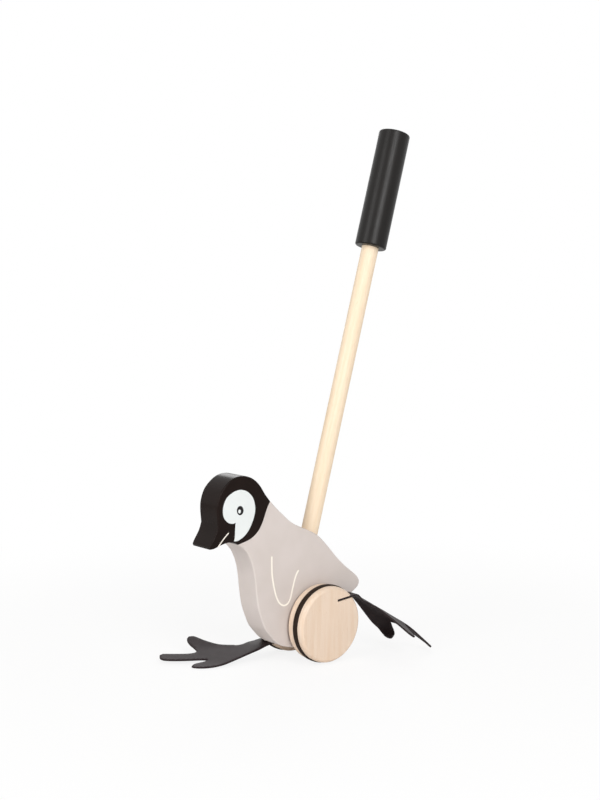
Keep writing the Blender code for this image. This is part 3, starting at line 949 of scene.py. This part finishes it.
@dataclass
class Wheel:
    """One turned wheel with the groove of its ring, its blind axle hole and the saw kerf of its foot."""

    radius: float = 35.0
    inner_x: float = 16.0
    thickness: float = 20.0
    inner_round: float = 2.0
    outer_round: float = 4.0
    round_end: float = 70.0
    groove_half: float = 3.6
    ring_place: float = 10.6
    ring_middle: float = 32.6
    ring_half: float = 3.4
    ring_square: float = 3.4
    hole_radius: float = 4.1
    hole_depth: float = 14.0
    kerf_height: float = 2.3
    steps: int = 128

    def build(self) -> None:
        """Turn the left wheel and its ring, and copy both to the right, half a turn on."""
        wheel = self.turn_wood()
        ring = self.turn_ring()
        for piece, name, slot, node in ((wheel, "wheel_turned", Slot.BEECH, "wheel"),
                                        (ring, "rubber_ring", Slot.RING, "tyre")):
            copy = twin(piece, name + "_right", (-1, -1, -1))
            for side, shape in ((Side.LEFT, piece), (Side.RIGHT, copy)):
                settle(shape, Body.WHEELS, slot, node + "_" + side.label)

    def turn_wood(self) -> Piece:
        """Turn the wood, with its rounded edges and groove, and saw the kerf.

        Returns:
            The left wheel.
        """
        groove = [point for point in self.section(self.groove_half, 48) if point.x < self.radius]
        groove.sort(key=lambda point: math.atan2(point.y, self.radius - point.x))
        big = self.outer_round / (1 - math.cos(math.radians(self.round_end)) / 3)
        profile = [Vector((0, self.hole_depth)), Vector((self.hole_radius, self.hole_depth)),
                   Vector((self.hole_radius, 0)),
                   *arc((self.radius - self.inner_round, self.inner_round), self.inner_round, -90, 0, 5),
                   *(Vector((point.x, self.ring_place + point.y)) for point in groove),
                   *arc((self.radius - big, self.thickness - big * math.sin(math.radians(self.round_end))),
                        big, 0, self.round_end, 8),
                   Vector((0, self.thickness))]
        wheel = trace("wheel_turned_left", [at(self.inner_x + along, 0, r) for r, along in profile])
        turn(wheel, AXLE, Vector((1, 0, 0)), self.steps)
        carve(wheel, self.saw())
        dress(wheel, WHEEL_BEECH.material())
        smooth(wheel, 32)
        return wheel

    def section(self, half: float, steps: int) -> list[Vector]:
        """Return the squarish round section of the ring, or of its groove.

        Args:
            half: Half its width, and half its height.
            steps: The number of its points.

        Returns:
            The points as (radius, place across the rim's middle), once round.
        """
        power = 2 / self.ring_square
        ends = [(math.cos(math.tau * k / steps), math.sin(math.tau * k / steps)) for k in range(steps)]
        return [Vector((self.ring_middle + half * math.copysign(abs(c) ** power, c),
                        half * math.copysign(abs(w) ** power, w))) for c, w in ends]

    def saw(self) -> Piece:
        """Shape the blade that saws the kerf of the foot's strap.

        Returns:
            The cutter.
        """
        foot = Foot(Side.LEFT)
        length = 2 * self.radius
        bpy.ops.object.select_all(action="DESELECT")
        bpy.ops.mesh.primitive_cube_add(size=MM)
        blade = bpy.context.object
        with editing(blade):
            bpy.ops.transform.resize(value=(2 * self.thickness, length, self.kerf_height),
                                     center_override=(0, 0, 0))
        along = foot.kerf_end() + length / 2
        blade.data.transform(foot.kerf_frame() @ Matrix.Translation((0, along * MM, 0)))
        return blade

    def turn_ring(self) -> Piece:
        """Turn the rubber ring from its section.

        Returns:
            The left ring.
        """
        section = self.section(self.ring_half, 32)
        middle = self.inner_x + self.ring_place
        ring = trace("rubber_ring_left", [at(middle + across, 0, r) for r, across in [*section, section[0]]])
        turn(ring, AXLE, Vector((1, 0, 0)), self.steps)
        dress(ring, RING_RUBBER.material())
        smooth(ring, 60)
        return ring


@dataclass(frozen=True)
class Drape:
    """How a foot hangs: its bends in degrees, positive downwards, and where they cross the strap."""

    root: float
    roll: float
    palm: float
    palm_turn: float
    palm_share: float
    inner: float
    inner_share: float
    outer: float
    outer_share: float
    middle: float


@dataclass
class Foot:
    """One three-toed foot, a single rubber sheet from the kerf over the ring to the toes.

    Places on the flat sheet are (a, s): a runs away from the plank, s out of the wheel.
    """

    side: Side
    length: float = 92.7
    spread: float = 53.4
    strap: float = 19.4
    thickness: float = 1.6
    edge_round: float = 0.35
    step: float = 2.6
    ring_outer: float = Wheel.ring_middle + Wheel.ring_half
    wheel_radius: float = Wheel.radius
    wheel_middle: float = Wheel.inner_x + Wheel.thickness / 2
    kerf_offset: float = 20.7
    kerf_depth: float = 18.7
    kerf_rise: float = 5.3
    kerf_gap: float = 0.2
    standoff: float = 0.8
    window: float = 4.2
    bridge: float = 0.4
    hinge_reach: float = 3.0
    blend_margin: float = 0.5
    ease: float = 3.0
    toes: Pairs = (
        (0.148, 0.174), (0.214, 0.161), (0.254, 0.178), (0.299, 0.240), (0.384, 0.399), (0.422, 0.519),
        (0.463, 0.723), (0.479, 0.846), (0.496, 0.944), (0.539, 1.000), (0.573, 0.968), (0.602, 0.882),
        (0.617, 0.760), (0.625, 0.612), (0.643, 0.502), (0.674, 0.494), (0.724, 0.534), (0.803, 0.637),
        (0.878, 0.747), (0.930, 0.820), (0.968, 0.813), (1.000, 0.715), (0.994, 0.646), (0.950, 0.558),
        (0.876, 0.448), (0.797, 0.345), (0.711, 0.234), (0.655, 0.135), (0.670, 0.129), (0.711, 0.124),
        (0.764, 0.148), (0.812, 0.163), (0.864, 0.116), (0.836, 0.026),
    )
    inner_edge: Pairs = (
        (0.780, -0.340), (0.704, -0.730), (0.612, -0.950), (0.543, -1.000), (0.364, -1.000),
        (0.152, -1.000),
    )
    inner_notch: Pair = (0.652, 0.161)
    outer_notch: Pair = (0.640, 0.506)
    outer_seat_spread: float = 0.225
    inner_slope: float = 0.15
    outer_slope: float = 0.25
    root_start: float = 1.5
    root_bend: float = 3.0
    roll_start: float = 3.5
    roll_length: float = 14.0
    palm_bend: float = 18.0
    inner_bend: float = 12.0
    toe_bend: float = 14.0
    drapes: dict[Side, Drape] = field(default_factory=lambda: {
        Side.LEFT: Drape(29.3, 25.0, 64.3, 65.0, 0.04, 95.0, 0.652, -8.5, 0.5, 12.0),
        Side.RIGHT: Drape(1.7, -7.1, 3.4, 23.1, 0.084, -4.5, 0.533, -5.0, 0.446, -2.8),
    })

    FLAT_PLACE = "flat_place"

    def kerf_frame(self) -> Matrix:
        """Work out where the sheet lies in its kerf.

        Returns:
            The sheet's frame: X away from the plank, Y out of the wheel, Z up.
        """
        sign = self.side.value
        rise = math.radians(self.kerf_rise)
        away = Vector((sign, 0, 0))
        out = Vector((0, sign * math.cos(rise), sign * math.sin(rise)))
        up = Vector((0, -math.sin(rise), math.cos(rise)))
        place = Matrix((away, out, up)).transposed().to_4x4()
        place.translation = at(sign * self.wheel_middle, 0, 0) + sign * self.kerf_offset * MM * up
        return place

    def kerf_end(self) -> float:
        """Return how far from the axle's plane the kerf starts."""
        return math.sqrt(self.wheel_radius ** 2 - self.kerf_offset ** 2) - self.kerf_depth

    def strap_origin(self) -> float:
        """Return where s is zero, just outside the ring."""
        return math.sqrt(self.ring_outer ** 2 - self.kerf_offset ** 2) + self.standoff

    def outline(self) -> list[Vector]:
        """Draw the flat pattern, from the fork's outer prong round the toes.

        Returns:
            The points as (s, a), once round.
        """
        half = self.strap / 2
        root = self.kerf_end() + self.kerf_gap - self.strap_origin()
        toes = [(s * self.length, a * self.spread) for s, a in self.toes]
        inner = [(s * self.length, a * half) for s, a in self.inner_edge]
        curve = flow(((self.hinge_reach, half), *toes, *inner, (self.hinge_reach, -half)), self.step)
        prong = [(root, -half), (root, -self.window), (self.bridge, -self.window),
                 (self.bridge, self.window), (root, self.window), (root, half)]
        return [*curve, *(Vector(point) for point in prong)]

    def cut(self) -> Piece:
        """Cut the flat foot, thick and round edged, and divide it finely enough to bend.

        Returns:
            The flat foot, which both feet are copied from.
        """
        outline = [Vector((a, s, -self.thickness / 2)) * MM for s, a in self.outline()]
        flat = trace("foot_flat", outline, fill=True)
        with editing(flat):
            pull(0, 0, self.thickness)
            round_edges(flat, self.edge_round, 2, lambda edge: is_rim(edge, 2))
            for axis in range(2):
                low = min(point[axis] for point in outline)
                high = max(point[axis] for point in outline)
                for k in range(1, math.floor((high - low) / (self.step * MM)) + 1):
                    place = [0, 0, 0]
                    place[axis] = low + k * self.step * MM
                    bpy.ops.mesh.select_all(action="SELECT")
                    bpy.ops.mesh.bisect(plane_co=place, plane_no=(1 - axis, axis, 0))
            bpy.ops.mesh.select_all(action="SELECT")
            bpy.ops.mesh.quads_convert_to_tris()
        dress(flat, FOOT_RUBBER.material())
        return flat

    def bend(self, point: Vector, origin: Vector, crease: Vector, length: float, angle: float) -> Vector:
        """Bend a point of the sheet about a crease.

        Args:
            point: The point, in the strap's frame.
            origin: A point on the crease.
            crease: The direction in the sheet square across the crease, towards what moves.
            length: The length of sheet that the bend is spread over.
            angle: The bend in degrees, positive where the far side goes down.

        Returns:
            The point's new place.
        """
        across = crease.normalized()
        beyond = (point - origin).dot(across)
        if beyond <= 0 or angle == 0:
            return point
        turn_angle = math.radians(angle)
        radius = length / turn_angle
        turned = turn_angle * min(beyond, length) / length
        rest = max(beyond - length, 0)
        forward = radius * math.sin(turned) + rest * math.cos(turned)
        down = radius * (1 - math.cos(turned)) + rest * math.sin(turned)
        lifted = Vector((across.x, across.y, 0)) * math.sin(turned) + Vector((0, 0, math.cos(turned)))
        flat = point - across * beyond
        return Vector((flat.x, flat.y, -down)) + across * forward + lifted * point.z

    def crease(self, first: Vector, second: Vector, towards: Vector) -> Vector:
        """Find the way across a crease.

        Args:
            first: One end of the crease.
            second: Its other end.
            towards: A point on the side that moves.

        Returns:
            The direction square to the crease, towards that side.
        """
        line = second - first
        across = Vector((line.y, -line.x, 0))
        return across if across.dot(towards - first) > 0 else -across

    def hang(self, flat: Vector) -> Vector:
        """Carry a point of the flat foot to where it hangs.

        Args:
            flat: The point as (a, s, height), in millimetres.

        Returns:
            Its place in the strap's frame.
        """
        drape = self.drapes[self.side]
        inner_notch = self.share(self.inner_notch)
        outer_notch = self.share(self.outer_notch)
        outer_seat = self.share((drape.outer_share, self.outer_seat_spread))
        inner_seat = Vector((-self.strap / 2, drape.inner_share * self.length, 0))
        point = flat.copy()
        outer_side = outer_notch.y + self.outer_slope * (point.x - outer_notch.x)
        if point.x < inner_notch.x + self.inner_slope * (point.y - inner_notch.y):
            across = self.crease(inner_notch, inner_seat, self.share((1, 0)))
            point = self.bend(point, inner_notch, across, self.inner_bend, drape.inner)
        elif point.x > outer_seat.x and point.y < outer_side:
            across = self.crease(outer_notch, outer_seat, self.share((self.outer_notch[0], 1)))
            point = self.bend(point, outer_notch, across, self.toe_bend, drape.outer)
        else:
            across = self.crease(inner_notch, outer_notch, self.share((1, 1)))
            point = self.bend(point, inner_notch, across, self.toe_bend, drape.middle)
        turned = math.radians(drape.palm_turn)
        palm = Vector((0, drape.palm_share * self.length, 0))
        way = Vector((-math.sin(turned), math.cos(turned), 0))
        point = self.bend(point, palm, way, self.palm_bend, drape.palm)
        rolled = self.eased(flat.y - self.roll_start, self.roll_length)
        point = Matrix.Rotation(math.radians(drape.roll) * rolled, 3, "Y") @ point
        point = self.bend(point, Vector((0, self.root_start, 0)), Vector((0, 1, 0)), self.root_bend,
                          drape.root)
        return flat.lerp(point, self.eased(flat.y, self.ease))

    def share(self, shares: Pair) -> Vector:
        """Return the place on the flat foot of shares of its length and spread."""
        return Vector((shares[1] * self.spread, shares[0] * self.length, 0))

    def eased(self, distance: float, length: float) -> float:
        """Return a share that grows smoothly from nought to one over a length."""
        share = min(max(distance / length, 0), 1)
        return share * share * (3 - 2 * share)

    def build(self, pattern: Piece) -> None:
        """Hang a copy of the flat pattern from this side's kerf.

        Args:
            pattern: The flat foot.
        """
        label = self.side.label
        foot = copy_of(pattern, "foot_sheet_" + label)
        verts = foot.data.vertices
        flat = foot.data.attributes.new(self.FLAT_PLACE, "FLOAT_VECTOR", "POINT")
        flat.data.foreach_set("vector", [value for vert in verts for value in vert.co])
        place = self.kerf_frame() @ Matrix.Translation((0, self.strap_origin() * MM, 0))
        for vert in verts:
            vert.co = place @ (self.hang(vert.co / MM) * MM)
        with editing(foot):
            bpy.ops.mesh.normals_make_consistent(inside=False)
        take(foot)
        bpy.ops.object.shade_smooth_by_angle(angle=math.radians(50))
        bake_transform(foot)
        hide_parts("foot_" + label, "foot_" + label + "_stem")
        LOG.info("%s: %d faces", foot.name, len(foot.data.polygons))


@dataclass
class Handle:
    """The dowel and the black grip on its end, both on one leaning axis."""

    seat: Triple = (0.0, -8.08, 39.99)
    lean: float = STICK_TILT
    stick_radius: float = 8.0
    stick_length: float = 423.2
    stick_round: float = 1.2
    grip_radius: float = 14.9
    grip_length: float = 112.5
    grip_top: float = 428.5
    grip_round: float = 1.8
    grip_bore: float = 8.06
    grip_bore_end: float = 423.4

    def rod(self, name: str, profile: Sequence[Sequence[float]], steps: int) -> Piece:
        """Turn a profile of (radius, along) pairs round the leaning axis.

        Args:
            name: The piece's name.
            profile: The profile, from the seat up.
            steps: The number of facets round it.

        Returns:
            The piece.
        """
        lean = math.radians(self.lean)
        axis = Vector((0, math.sin(lean), math.cos(lean)))
        seat = at(*self.seat)
        piece = trace(name, [seat + (axis * along + Vector((r, 0, 0))) * MM for r, along in profile])
        return turn(piece, seat, axis, steps)

    def sleeve(self, radius: float, low: float, top: float, ends: float, steps: int) -> list[Vector]:
        """Return the outer profile of a rod, from low to top, whose ends are rounded."""
        return [*arc((radius - ends, low + ends), ends, -90, 0, steps),
                *arc((radius - ends, top - ends), ends, 0, 90, steps)]

    def build(self) -> None:
        """Turn the stick and the grip."""
        stick = [(0, 0), *self.sleeve(self.stick_radius, 0, self.stick_length, self.stick_round, 3),
                 (0, self.stick_length)]
        low = self.grip_top - self.grip_length
        grip = [(0, self.grip_bore_end), (self.grip_bore, self.grip_bore_end), (self.grip_bore, low),
                *self.sleeve(self.grip_radius, low, self.grip_top, self.grip_round, 6), (0, self.grip_top)]
        for name, profile, steps, finish, slot, node in (
                ("dowel_sanded", stick, 64, DOWEL_BIRCH, Slot.DOWEL, "stick"),
                ("grip_lacquered", grip, 96, GRIP_LACQUER, Slot.GRIP, "grip")):
            piece = self.rod(name, profile, steps)
            dress(piece, finish.material())
            smooth(piece, 40)
            settle(piece, Body.TOY, slot, node)


@dataclass
class RunningGear:
    """The axle and the washers, which keep the frame's own shapes."""

    finishes: dict[str, Finish] = field(default_factory=lambda: {
        "axle": AXLE_STEEL, "washer_left": WASHER_NYLON, "washer_right": WASHER_NYLON})

    def build(self) -> None:
        """Give each node its finish."""
        for name, finish in self.finishes.items():
            for slot in frame["nodes"][name].material_slots:
                slot.material = finish.material()
            LOG.info("%s: finished as %s", name, finish.name)


def main() -> None:
    """Build the studio and the toy, piece by piece."""
    logging.basicConfig(level=logging.INFO, format="%(name)s %(message)s")
    Studio().build()
    Plank().build()
    PaintedFace().build()
    Wheel().build()
    pattern = Foot(Side.LEFT).cut()
    for side in Side:
        Foot(side).build(pattern)
    bpy.data.objects.remove(pattern, do_unlink=True)
    Handle().build()
    RunningGear().build()


if __name__ == "__main__":
    main()
